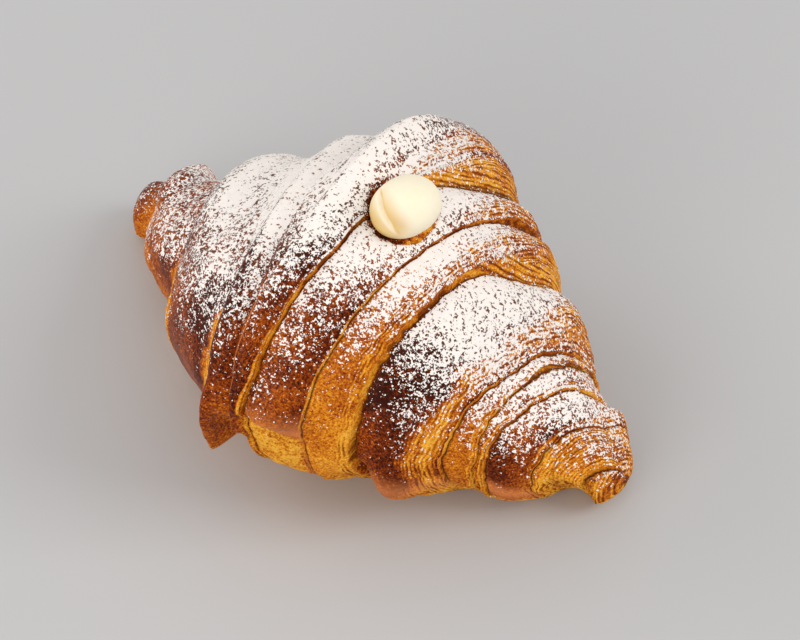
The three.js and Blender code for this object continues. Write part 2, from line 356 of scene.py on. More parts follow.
# Camera, found from the outline in the 800 x 640 photograph
CAMERA_AZIMUTH = 39.63
CAMERA_ELEVATION = 45
CAMERA_DISTANCE = 620
CAMERA_TARGET = (0, 0, 28)
FOCAL_PIXELS = 2605
PRINCIPAL_PIXEL = (341.3, 304.2)
FRAME_PIXELS = (800, 640)
SENSOR_WIDTH = 36

# Stage: lamps have their place and size in metres and their power in watts
FLOOR_HALF = 3000
SKY_STRENGTH = 0.66
LAMP_AIM = (0, 0, 0.03)
LAMP_COLOUR = (1, 0.97, 0.93)
LAMPS = (
    ("key", (0.78, 0.45, 0.70), 0.6, 4.6),
    ("front", (0.1, -1, 0.32), 0.7, 4.6),
    ("left", (-0.90, -0.35, 0.45), 0.7, 2.6),
)


# Small maths

LATTICE_STEPS = (73856093, 19349663, 83492791)
LATTICE_MIXERS = (2654435761, 2246822519, 3266489917)
LATTICE_LIMIT = 0xFFFFFFFF


def lerp(a, b, t):
    return a + (b - a) * t


def smoothstep(x, low, high):
    t = np.clip((x - low) / (high - low), 0.0, 1.0)
    return t * t * (3 - 2 * t)


def bezier(a, b, c, d, t):
    return a * (1 - t) ** 3 + 3 * b * t * (1 - t) ** 2 + 3 * c * t ** 2 * (1 - t) + d * t ** 3


def lattice(cell, seed):
    """Repeatable random numbers from 0 to 1 at whole-number grid points."""
    along, across, up = (cell[..., axis] * step for axis, step in enumerate(LATTICE_STEPS))
    first, second, third = LATTICE_MIXERS
    mixed = ((along ^ across ^ up) + seed * first) & LATTICE_LIMIT
    mixed = ((mixed ^ (mixed >> 15)) * second) & LATTICE_LIMIT
    mixed = ((mixed ^ (mixed >> 13)) * third) & LATTICE_LIMIT
    return (mixed ^ (mixed >> 16)) / LATTICE_LIMIT


def noise(points, size, seed):
    """Smooth noise from -1 to 1 with lumps about size across."""
    scaled = points / size
    cell = np.floor(scaled).astype(np.int64)
    part = scaled - cell
    blend = part ** 3 * (part * (part * 6 - 15) + 10)
    total = np.zeros(points.shape[:-1])
    for corner in itertools.product((0, 1), repeat=3):
        weight = np.prod(np.where(np.array(corner) == 1, blend, 1 - blend), axis=-1)
        total += weight * lattice(cell + np.array(corner), SEED + seed)
    return 2 * total - 1


def uneven(points, waves):
    return sum(height * noise(points, size, seed) for height, size, seed in waves)


# Angles round the section: 0 at the front, 90 at the top, 180 at the back

def section_angles():
    """Angles in radians, closer where the crust shows."""
    low, high = FINE_ARC
    under_front = np.linspace(-90, low, COARSE_SEGMENTS, endpoint=False)
    shown = np.linspace(low, high, FINE_SEGMENTS, endpoint=False)
    under_back = np.linspace(high, 270, COARSE_SEGMENTS, endpoint=False)
    return np.radians(np.concatenate([under_front, shown, under_back]))


ANGLE = section_angles()
COS = np.cos(ANGLE)
SIN = np.sin(ANGLE)
DEGREES = (np.degrees(ANGLE) + 180) % 360 - 180
FRONT = smoothstep(COS, 0.45, 0.9)
LOW_FRONT = smoothstep(COS, 0.76, 0.97)
SLOPES = smoothstep(COS, 0.25, 0.8) + 0.8 * smoothstep(-COS, 0.25, 0.75)
CREST = (1 - smoothstep(COS, 0.25, 0.8)) * (1 - smoothstep(-COS, 0.0, 0.4))


def round_section(values):
    """Blend of a front, a top and a back value at every angle."""
    front, top, back = values
    return top + (front - top) * smoothstep(COS, 0, 1) + (back - top) * smoothstep(-COS, 0, 0.7)


def along_seam(waves, index):
    run = ANGLE * BELLY_HALF_WIDTH
    path = np.stack([run, np.full_like(ANGLE, SEAMS_APART * index), np.zeros_like(ANGLE)], -1)
    return uneven(path, waves)


# Smooth body

def tip_round(distance, tip):
    inside = np.clip(distance / (TIP_ROUNDING * tip), 0, 1)
    return np.sqrt(1 - (1 - inside) ** 2)


def section(x):
    """Centre y and z, half width, half height and tip rounding of the body at each x."""
    left = x < BELLY_X
    end = np.where(left, LEFT_END, RIGHT_END)
    reach = np.clip((x - BELLY_X) / (end - BELLY_X), 0, 1)

    def taper(key):
        return np.where(left, LEFT_TAPER[key], RIGHT_TAPER[key])

    swell = (1 - reach ** taper("shoulder")) ** taper("hollow")
    width = lerp(taper("tip"), BELLY_HALF_WIDTH, swell)
    slimness = (BELLY_HALF_WIDTH - width) / (BELLY_HALF_WIDTH - TIP_HALF_WIDTH)
    height = width * lerp(BELLY_FLATNESS, TIP_FLATNESS, np.clip(slimness, 0, 1))
    rounding = tip_round(x - LEFT_END, LEFT_TAPER["tip"]) * tip_round(RIGHT_END - x, RIGHT_TAPER["tip"])
    y = np.where(x < 0, LEFT_BEND * (x / LEFT_END) ** 2, RIGHT_BEND * (x / RIGHT_END) ** 2)
    z = SEAT * height + LEFT_RISE * np.where(left, reach, 0) ** 3
    for droop in (NUB, KNOB):
        share = smoothstep((x - droop["start"]) / (droop["end"] - droop["start"]), 0, 1)
        y = y - share * droop["forward"]
        z = z - share * droop["drop"]
    return y, z, width * rounding, height * rounding, rounding


def local_forms(x):
    total = np.zeros_like(x)
    for place, half_length, top, peak, bottom, height in FORM_ROWS:
        along = np.maximum(0, 1 - ((x - place) / half_length) ** 2)
        above = 1 - smoothstep(DEGREES, peak, top)
        below = smoothstep(DEGREES, bottom, peak)
        total += height * along * np.minimum(above, below)
    return total


def tucked_base(x):
    """How far the base stands back under the hems, and where it shows, from 0 to 1."""
    depth = np.zeros_like(x)
    shown = np.zeros_like(x)
    for place, half_length, angle, slope, back in HEM_ROWS:
        along = np.clip(HEM_FULLNESS * (1 - ((x - place) / half_length) ** 2), 0, 1)
        hem = angle + slope * (x - place)
        below = 1 - smoothstep(DEGREES, hem - HEM_HEIGHT, hem)
        share = along * below * smoothstep(DEGREES, *HEM_FLOOR)
        depth += back * share
        shown = np.maximum(shown, share)
    return depth, shown


def lumps(x):
    waves = (np.sin(along * x + shift) * np.sin(around * ANGLE + 2 * shift)
             for along, around, shift in LUMP_WAVES)
    return LUMP_HEIGHT * sum(waves)


# Rings along the pastry

def gape_height(shape):
    if shape["gape"] is None:
        return np.zeros_like(ANGLE)
    middle, half, height = shape["gape"]
    return height * np.maximum(0, 1 - ((np.degrees(ANGLE) - middle) / half) ** 2)


def step_height(shape):
    step = round_section(shape["step"])
    if shape["heal"] is None:
        return step
    low, high = (shape["heal"] + reach for reach in HEAL_REACH)
    return step * lerp(1, smoothstep(DEGREES, low, high), COS > 0)


def seam_line(shape, index):
    """Place and lift of a seam's lip and foot at every angle."""
    lean = np.where(COS > 0, shape["lean"], shape["lean_back"])
    lip = shape["ridge"] - lean * COS + along_seam(WANDER_WAVES, index)
    foot = lip + shape["facing"] * round_section(shape["run"]) - shape["twist"] * COS
    step = step_height(shape)
    gape = gape_height(shape)
    all_round = np.ones_like(ANGLE)
    sharp = FRONT if shape["facing"] < 0 else all_round
    return {
        "facing": shape["facing"],
        "lip_x": np.clip(lip, LEFT_END, RIGHT_END),
        "foot_x": np.clip(foot, LEFT_END, RIGHT_END),
        "lip_lift": LIP_SHARE * step + sharp * along_seam(FLAKE_WAVES, index) + GAPE["lip"] * gape,
        "foot_lift": (LIP_SHARE - 1) * step - GAPE["foot"] * gape,
        "undercut": sharp * shape["undercut"] + GAPE["undercut"] * gape,
        "groove": sharp * shape["groove"] + GAPE["groove"] * gape,
        "face": LOW_FRONT if shape["facing"] < 0 else all_round,
    }


def seam_ring(line, t):
    """Ring on a seam's step: t is 0 on the lip and 1 on the foot."""
    reach = line["foot_x"] - line["lip_x"]
    back = reach - line["facing"] * line["undercut"]
    fall = lerp(line["foot_lift"], line["lip_lift"], bezier(*STEP_FALL, t))
    return {
        "x": line["lip_x"] + bezier(0, LIP_NOSE * line["facing"], back, reach, t),
        "lift": fall - line["groove"] * math.sin(math.pi * t ** 3),
        "from_left": np.abs(reach) * t,
        "from_right": np.abs(reach) * (1 - t),
        "face": line["face"],
        "cliff": np.full_like(ANGLE, t),
    }


def crown_share(share, lip_side):
    """Swell across a turn, fuller on the left if its lip is there."""
    if lip_side < 0:
        share = share ** CROWN_SKEW
    return 4 * share * (1 - share)


def turn_ring(left, right, crown, lip_side, share):
    """Ring across a turn between its two edges, each a place and a lift."""
    rise = float(smoothstep(share, 0, 1))
    width = right[0] - left[0]
    return {
        "x": left[0] + width * share,
        "lift": lerp(left[1], right[1], rise) + crown * crown_share(share, lip_side),
        "from_left": width * share,
        "from_right": width * (1 - share),
        "face": np.zeros_like(ANGLE),
        "cliff": np.full_like(ANGLE, -1.0),
    }


def turn_shares(index, width):
    """Where the rings of a turn lie across it, from 0 to 1, closer towards a tip."""
    tip = [1 - math.cos(i / TIP_RINGS * math.pi / 2) for i in range(1, TIP_RINGS)]
    if index == 0:
        return tip
    if index == len(SEAMS):
        return [1 - share for share in reversed(tip)]
    count = max(FEWEST_RINGS, round(float(np.max(width)) / RING_PITCH))
    return [i / count for i in range(1, count)]


def seam_sides(line):
    lip = (line["lip_x"], line["lip_lift"])
    foot = (line["foot_x"], line["foot_lift"])
    return (foot, lip) if line["facing"] < 0 else (lip, foot)


def crust_rings():
    """All rings, left to right, with the number of the turn that each belongs to."""
    lines = [seam_line(shape, index) for index, shape in enumerate(SEAMS)]
    flat = np.zeros_like(ANGLE)
    edges = [(flat + LEFT_END, flat)]
    for line in lines:
        edges.extend(seam_sides(line))
    edges.append((flat + RIGHT_END, flat))
    down = [i / CLIFF_RINGS for i in range(CLIFF_RINGS + 1)]
    rings = []
    for index, shape in enumerate(TURNS):
        left, right = edges[2 * index], edges[2 * index + 1]
        beside = [line["facing"] for line in lines[max(index - 1, 0):index + 1]]
        lip_side = sum(beside) / 2 if len(beside) == 2 else 0
        for share in turn_shares(index, right[0] - left[0]):
            rings.append(turn_ring(left, right, shape["crown"], lip_side, share) | {"turn": index})
        if index < len(SEAMS):
            faces_left = lines[index]["facing"] < 0
            owner = index + 1 if faces_left else index
            for t in reversed(down) if faces_left else down:
                rings.append(seam_ring(lines[index], t) | {"turn": owner})
    return {key: np.stack([ring[key] for ring in rings]) for key in rings[0]}


# Crust surface

def turn_values(key, number):
    """A value of each ring's turn, as a column."""
    return np.array([shape[key] for shape in TURNS])[number][:, None]


def lips_beside(number):
    """Whether each ring's turn has a lip on its left and on its right."""
    facing = np.array([0] + [shape["facing"] for shape in SEAMS] + [0])
    return (facing[number] < 0)[:, None], (facing[number + 1] > 0)[:, None]


def edge_widths(key, number):
    """Width of a layered edge of each ring's turn, round the section."""
    rows = []
    for shape in TURNS:
        front, top, back = shape[key]
        rows.append(round_section((top, top, back)) + (front - top) * LOW_FRONT)
    return np.stack(rows)[number]


def layered_edges(rings, arc):
    """Where the golden layered edges of the dough show, from 0 to 1."""
    number = rings["turn"]
    along = np.stack([0 * arc, arc, EDGES_APART * number[:, None] + 0 * arc], -1)
    ragged = 1 + uneven(along, RAGGED_WAVES)
    left = ragged * edge_widths("left", number)
    right = ragged * edge_widths("right", number)
    on_turn = np.maximum(
        1 - smoothstep(rings["from_left"], 0.5 * left, left + 0.01),
        1 - smoothstep(rings["from_right"], 0.5 * right, right + 0.01),
    )
    on_step = rings["face"] * smoothstep(rings["cliff"], *STEP_LAYERS)
    return np.where(rings["cliff"] < 0, on_turn, on_step)


def pale_hems(number):
    """Where the skin of a ring's turn is paler, with a painted sheen, towards its hem, from 0 to 1."""
    rows = []
    for shape in TURNS:
        if shape["hem"] is None:
            rows.append(np.zeros_like(ANGLE))
        else:
            below = 1 - smoothstep(DEGREES, shape["hem"] - PALE_HEM, shape["hem"])
            rows.append(below * (DEGREES > PALE_LOWEST))
    return np.stack(rows)[number]


def crust_site(rings, base, arc):
    """What each place on the crust is: layered edge, bare base, turn or step."""
    nearer_right = rings["from_right"] < rings["from_left"] + RIGHT_LEAD
    across = np.where(nearer_right, rings["from_right"], rings["from_left"])
    strip = np.stack([across, arc, STRIPS_APART * rings["turn"][:, None] + 0 * arc], -1)
    set_back, tucked = tucked_base(base[..., 0])
    return {
        "strip": strip,
        "edge": layered_edges(rings, arc),
        "layer": uneven(strip / np.array(LAYER_SIZE), LAYER_WAVES),
        "crumb": uneven(base, CRUMB_WAVES),
        "set_back": set_back,
        "tucked": tucked,
        "under": np.maximum(1 - smoothstep(SIN, *UNDERSIDE), tucked),
        "on_turn": rings["cliff"] < 0,
        "fade": smoothstep(SIN, *SEAM_FADE),
    }


def crust_relief(rings, site, base):
    x = base[..., 0]
    lip_left, lip_right = lips_beside(rings["turn"])
    roll = lip_left * np.clip(1 - rings["from_left"] / ROLL_WIDTH, 0, 1) ** 2
    roll = roll + lip_right * np.clip(1 - rings["from_right"] / ROLL_WIDTH, 0, 1) ** 2
    detail = lumps(x) + uneven(base, SKIN_WAVES) + LAYER_DEPTH * site["edge"] * site["layer"]
    detail = detail + CRUMB_DEPTH * site["under"] * site["crumb"] - ROLL_DROP * roll * site["on_turn"]
    lift = rings["lift"] * (1 - HEM_SMOOTHING * site["tucked"])
    return site["fade"] * (lift + detail) + local_forms(x) - site["set_back"]


def sink_hole(points):
    """Presses the filling hole into the crust, and says where its mouth and its well are."""
    offset = (points[..., :2] - np.array(HOLE["at"])) / np.array(HOLE["radii"])
    reach = np.hypot(offset[..., 0], offset[..., 1])
    mouth = (1 - smoothstep(reach, *HOLE["edge"])) * (points[..., 2] > HOLE["lowest"])
    well = mouth * np.sqrt(np.clip(1 - (reach / HOLE["well"]) ** 2, 0, 1))
    points[..., 2] -= HOLE["rim"] * mouth + HOLE["depth"] * well
    # The smoothed well share becomes painted shade
    return points, mouth, smoothstep(well, 0.0, 0.5)


def crust_fields(rings, site, base, mouth, pit):
    """What the crust's material reads at each place, from 0 to 1."""
    number = rings["turn"]
    edge, under, on_turn = site["edge"], site["under"], site["on_turn"]
    crumb = GOLD["crumb"] * site["crumb"]
    tone = turn_values("tone", number)
    tone = tone + turn_values("browner", number) * smoothstep(SIN, *BROWNER_RISE)
    tone = tone + uneven(base, TONE_WAVES) + TOP_TONE * smoothstep(SIN, *TOP_RISE)
    # Painted highlight along a left lip at the front, coloured like the hems
    rim = lips_beside(number)[0] * (1 - smoothstep(rings["from_left"], *PALE_RIM)) * FRONT
    hem = np.maximum(pale_hems(number), np.where(on_turn, rim, 0)) * (1 - under)
    gold = np.clip(1 - tone + GOLD["hem"] * hem, 0, 1)
    turn_gold, step_gold = (plain + more * FRONT for plain, more in (GOLD["turn"], GOLD["step"]))
    layers = np.where(on_turn, turn_gold, step_gold) + GOLD["layer"] * site["layer"]
    gold = np.maximum(gold, edge * layers)
    gold = np.maximum(gold, (GOLD["base"] + crumb) * under)
    # The hole's rim runs from a painted shadow of the dollop to gold along the pastry
    gold = lerp(gold, lerp(*GOLD["rim"], smoothstep(base[..., 0], *HOLE["shadow_to_gold"])) + crumb, mouth)
    # Painted shade in the crease at the foot of a step and in the hole's well
    crease = np.where(on_turn, 0, rings["face"] * smoothstep(rings["cliff"], *CREASE_START))
    return {
        "gold": np.clip(gold, 0, 1),
        "edge": edge,
        "crease": np.maximum(crease * site["fade"] * (1 - site["tucked"]), pit),
        "lines": edge * lerp(FAINT_LINES, 1, smoothstep(DEGREES % 360, *LINES_RISE)),
        "hem": hem,
        "rough": np.maximum(under, mouth),
    }


def dust_rules(rings, site, x):
    """How much flatter than it is a place looks to sugar, the most it hides, and how dry it is."""
    number = rings["turn"]
    on_turn = site["on_turn"]
    slopes, top, most = np.array([shape["dust"] for shape in TURNS])[number].T[..., None]
    width = rings["from_left"] + rings["from_right"]
    side = (rings["from_left"] - rings["from_right"]) / (width + TINY)
    lean = turn_values("lean", number) * np.where(on_turn, side, 0) * smoothstep(COS, *LEAN_FRONT)
    bridged = (1 - LOW_FRONT) * (1 - smoothstep(x, *BRIDGED_SEAMS))
    flatter = slopes * SLOPES + top * CREST + lean + np.where(on_turn, 0, BRIDGE * bridged)
    clear = smoothstep(x, *DUSTED_SEAMS)
    below_lip = lerp(1, smoothstep(rings["cliff"], *BELOW_LIP), smoothstep(width, *WIDE_STEP))
    dry_step = DRY["step"] * lerp(FRONT, 1, clear) * below_lip
    dry_turn = lerp(DRY["turn"] * clear, DRY["front"], FRONT)
    dry = site["edge"] * np.where(on_turn, dry_turn, dry_step)
    return np.stack([flatter, np.broadcast_to(most, x.shape), dry], -1)


def crust_grid():
    """Positions on the ring grid, and the fields that colour and sugar read."""
    rings = crust_rings()
    x = np.clip(rings["x"], LEFT_END, RIGHT_END)
    y, z, width, height, rounding = section(x)
    base = np.stack([x, y - width * COS, z + height * SIN], -1)
    site = crust_site(rings, base, ANGLE * (width + height) / 2)
    relief = rounding * crust_relief(rings, site, base)
    out_y, out_z = -COS * height, SIN * width
    length = np.maximum(np.hypot(out_y, out_z), TINY)
    points = base.copy()
    points[..., 1] += relief * (out_y / length)
    points[..., 2] = np.maximum(0, points[..., 2] + relief * (out_z / length))
    points, mouth, pit = sink_hole(points)
    fields = crust_fields(rings, site, base, mouth, pit)
    return points, fields, site["strip"], dust_rules(rings, site, x)


# Meshes

def array_mesh(name, vertices, triangles):
    """Blender mesh in metres from arrays in millimetres."""
    mesh = bpy.data.meshes.new(name)
    mesh.vertices.add(len(vertices))
    mesh.vertices.foreach_set("co", (vertices * MM).astype(np.float32).ravel())
    mesh.loops.add(triangles.size)
    mesh.loops.foreach_set("vertex_index", triangles.astype(np.int32).ravel())
    mesh.polygons.add(len(triangles))
    mesh.polygons.foreach_set("loop_start", np.arange(0, triangles.size, 3, dtype=np.int32))
    mesh.update(calc_edges=True)
    return mesh


def grid_mesh(name, points):
    """Closed mesh through a grid of rings, with a point at each end."""
    rings, around = points.shape[:2]
    ends = np.array([points[0].mean(0), points[-1].mean(0)])
    ends[:, 0] = LEFT_END, RIGHT_END
    vertices = np.concatenate([points.reshape(-1, 3), ends])
    ring = np.arange(rings - 1)[:, None] * around
    here = np.arange(around)[None, :]
    after = (here + 1) % around
    quads = np.stack([ring + here, ring + around + here, ring + around + after, ring + after], -1)
    quads = quads.reshape(-1, 4)
    sides = np.concatenate([quads[:, [0, 1, 2]], quads[:, [0, 2, 3]]])
    here, after = here[0], after[0]
    last = (rings - 1) * around
    left = np.stack([np.full(around, rings * around), here, after], -1)
    right = np.stack([last + here, np.full(around, rings * around + 1), last + after], -1)
    return array_mesh(name, vertices, np.concatenate([sides, left, right]))


def add_object(name, mesh, material, smooth=True):
    mesh.polygons.foreach_set("use_smooth", np.full(len(mesh.polygons), smooth))
    mesh.materials.append(material)
    piece = bpy.data.objects.new(name, mesh)
    bpy.context.scene.collection.objects.link(piece)
    return piece


def store_field(mesh, name, values):
    """Keeps a number, or a vector, at every vertex for the material to read."""
    kind, key = ("FLOAT", "value") if values.ndim == 1 else ("FLOAT_VECTOR", "vector")
    attribute = mesh.attributes.new(name, kind, "POINT")
    attribute.data.foreach_set(key, np.asarray(values, dtype=np.float32).ravel())


def triples(items, key, kind=np.float32):
    values = np.empty(len(items) * 3, dtype=kind)
    items.foreach_get(key, values)
    return values.reshape(-1, 3)


def mesh_arrays(mesh):
    """Positions in millimetres, normals and triangles of a mesh."""
    points = triples(mesh.vertices, "co") / MM
    return points, triples(mesh.vertex_normals, "vector"), triples(mesh.polygons, "vertices", np.int32)


# Sugar

def sky_share(points, normals, triangles):
    """Share of falling sugar that reaches each vertex past the lips above it."""
    tree = BVHTree.FromPolygons(points.tolist(), triangles.tolist())
    share = np.zeros(len(points))
    for lean in SIFT_LEANS:
        way = Vector((*lean, 1.0)).normalized()
        for index in np.nonzero(normals[:, 2] > SIFT_LOWEST)[0]:
            start = Vector(points[index] + SIFT_START * normals[index])
            if tree.ray_cast(start, way, SIFT_REACH)[0] is None:
                share[index] += 1 / len(SIFT_LEANS)
    return share


def sugar_cover(points, normals, sky, fields, dust):
    flatter, most, dry = dust.T
    up = normals[:, 2] + flatter + uneven(points, DRIFT_WAVES)
    cover = np.interp(up, STEEPNESS, SUGAR_COVER)
    patch = 1 - PATCH_LOSS * smoothstep(uneven(points, PATCH_WAVES), *PATCH_RISE)
    bare = np.maximum(np.maximum(fields["rough"], fields["crease"]), dry)
    return most * cover * patch * sky ** SHADE_POWER * (1 - bare)


def powder_limit(cover):
    """Level above which powder lies, so that it hides the given share."""
    random = np.random.default_rng(SEED)
    clumps = POWDER_MEAN + POWDER_SPREAD * random.normal(size=POWDER_SAMPLES)
    levels = np.sort(clumps + GRAIN_SPREAD * random.random(POWDER_SAMPLES))
    return np.interp(1 - cover, np.linspace(0, 1, POWDER_SAMPLES), levels)


def loose_share(normals, cover):
    """Where loose grains lie, most of them where the coat is broken."""
    fallen = np.maximum(cover, THIN_DUST * smoothstep(normals[:, 2], *THIN_FACING))
    return fallen ** SPECKLE_RISE * (SPECKLE_END - fallen)


def grain_shape(kind):
    """Corners and triangles of one grain about 1 across."""
    if kind == "tetrahedron":
        corners = [(1, 1, 1), (1, -1, -1), (-1, 1, -1), (-1, -1, 1)]
        faces = [(0, 1, 2), (0, 3, 1), (0, 2, 3), (1, 3, 2)]
        return 0.5 * np.array(corners) / math.sqrt(3), np.array(faces)
    corners = [(1, 0, 0), (-1, 0, 0), (0, 1, 0), (0, -1, 0), (0, 0, 1), (0, 0, -1)]
    faces = [(0, 2, 4), (2, 1, 4), (1, 3, 4), (3, 0, 4), (2, 0, 5), (1, 2, 5), (3, 1, 5), (0, 3, 5)]
    return 0.5 * np.array(corners), np.array(faces)


def random_turns(random, count):
    """Random rotation matrices from unit quaternions."""
    q = random.normal(size=(count, 4))
    w, x, y, z = (q / np.linalg.norm(q, axis=1, keepdims=True)).T
    rows = [
        [1 - 2 * (y * y + z * z), 2 * (x * y - z * w), 2 * (x * z + y * w)],
        [2 * (x * y + z * w), 1 - 2 * (x * x + z * z), 2 * (y * z - x * w)],
        [2 * (x * z - y * w), 2 * (y * z + x * w), 1 - 2 * (x * x + y * y)],
    ]
    return np.moveaxis(np.array(rows), 2, 0)


def grain_places(random, surface, weight, count):
    """Places of grains in small clumps, and the way out of the crust there."""
    points, normals, triangles = surface
    corners = points[triangles]
    first, second = corners[:, 1] - corners[:, 0], corners[:, 2] - corners[:, 0]
    chance = np.linalg.norm(np.cross(first, second), axis=1) * weight[triangles].mean(1)
    tries = GRAIN_TRIES * count
    chosen = random.choice(len(triangles), tries, p=chance / chance.sum())
    mix = random.dirichlet((1, 1, 1), tries)[:, :, None]
    place = (corners[chosen] * mix).sum(1)
    outward = (normals[triangles[chosen]] * mix).sum(1)
    clump = smoothstep(uneven(place, CLUMP_WAVES), *CLUMP_RISE)
    kept = np.nonzero(random.random(tries) < lerp(STRAY_SHARE, 1, clump))[0][:count]
    return place[kept], outward[kept]


def scatter_grains(name, surface, weight, kind, count, sizes, seed, material):
    random = np.random.default_rng(SEED + seed)
    place, outward = grain_places(random, surface, weight, count)
    count = len(place)
    size = np.exp(random.uniform(math.log(sizes[0]), math.log(sizes[1]), count))
    stretch = random.uniform(*GRAIN_STRETCH, (count, 1, 3))
    shape, faces = grain_shape(kind)
    grains = shape[None] * stretch * size[:, None, None]
    grains = np.einsum("nij,nkj->nki", random_turns(random, count), grains)
    proud = np.einsum("nkj,nj->nk", grains, outward)
    grains -= GRAIN_FLATTENING * proud[..., None] * outward[:, None, :]
    grains += (place + outward * size[:, None] * GRAIN_LIFT)[:, None, :]
    grains[..., 2] = np.maximum(grains[..., 2], 0)
    offsets = np.arange(count)[:, None, None] * len(shape)
    mesh = array_mesh(name, grains.reshape(-1, 3), (faces[None] + offsets).reshape(-1, 3))
    return add_object(name, mesh, material, smooth=False)


# Cream

def ellipsoid(points, centre, radii):
    """About the distance in millimetres outside an ellipsoid, and below zero inside it."""
    scaled = np.linalg.norm((points - np.array(centre)) / np.array(radii), axis=-1)
    return (scaled - 1) * min(radii)


def melt(first, second, rounding):
    """Distance outside two shapes that run together with a rounded corner."""
    mix = np.clip(0.5 + 0.5 * (second - first) / rounding, 0, 1)
    return lerp(second, first, mix) - rounding * mix * (1 - mix)


def cream_field(points):
    """Below zero inside the dollop, and the share of the crease between its lobes."""
    first, second = (ellipsoid(points, *lobe) for lobe in CREAM_LOBES)
    away = np.linalg.norm(points - np.array(CREAM_CREASE["from"]), axis=-1)
    faded = smoothstep(away, *CREAM_CREASE["fade"])
    crease = (1 - faded) * np.exp(-((second - first) / CREAM_CREASE["width"]) ** 2)
    lobes = melt(first, second, lerp(*CREAM_CREASE["rounding"], faded)) + CREAM_CREASE["depth"] * crease
    return melt(lobes, ellipsoid(points, *CREAM_BASE), BASE_ROUNDING), crease


def ray_ball():
    """Rays to all sides from one point, and the triangles between their ends."""
    ball = bpy.data.meshes.new("rays")
    build = bmesh.new()
    bmesh.ops.create_icosphere(build, subdivisions=CREAM_SUBDIVISIONS, radius=1.0)
    build.to_mesh(ball)
    build.free()
    _, rays, triangles = mesh_arrays(ball)
    return rays, triangles


def cream_mesh():
    """Dollop found along rays from its middle, as one skin."""
    rays, triangles = ray_ball()
    middle = np.array(CREAM_MIDDLE)
    low, high = np.zeros(len(rays)), np.full(len(rays), CREAM_REACH)
    for _ in range(CREAM_HALVINGS):
        reach = (low + high) / 2
        inside = cream_field(middle + rays * reach[:, None])[0] < 0
        low, high = np.where(inside, reach, low), np.where(inside, high, reach)
    points = middle + rays * low[:, None]
    crease = cream_field(points)[1]
    points += rays * uneven(points, CREAM_WAVES)[:, None]
    mesh = array_mesh("cream_dollop", points, triangles)
    _, normals, _ = mesh_arrays(mesh)
    # Painted light and shade by which way the cream faces, and painted shade in the crease
    pale = smoothstep(normals @ np.array(CREAM_PALE_WAY), *CREAM_PALE_TURN)
    store_field(mesh, "pale", pale * (1 - CREAM_CREASE["shade"] * crease))
    return mesh


# Materials

def linear(rgb):
    """Linear colour, with its alpha, from sRGB values of 0 to 255."""
    light = (((c / 255 + 0.055) / 1.055) ** 2.4 if c > 10 else c / 255 / 12.92 for c in rgb)
    return (*light, 1.0)


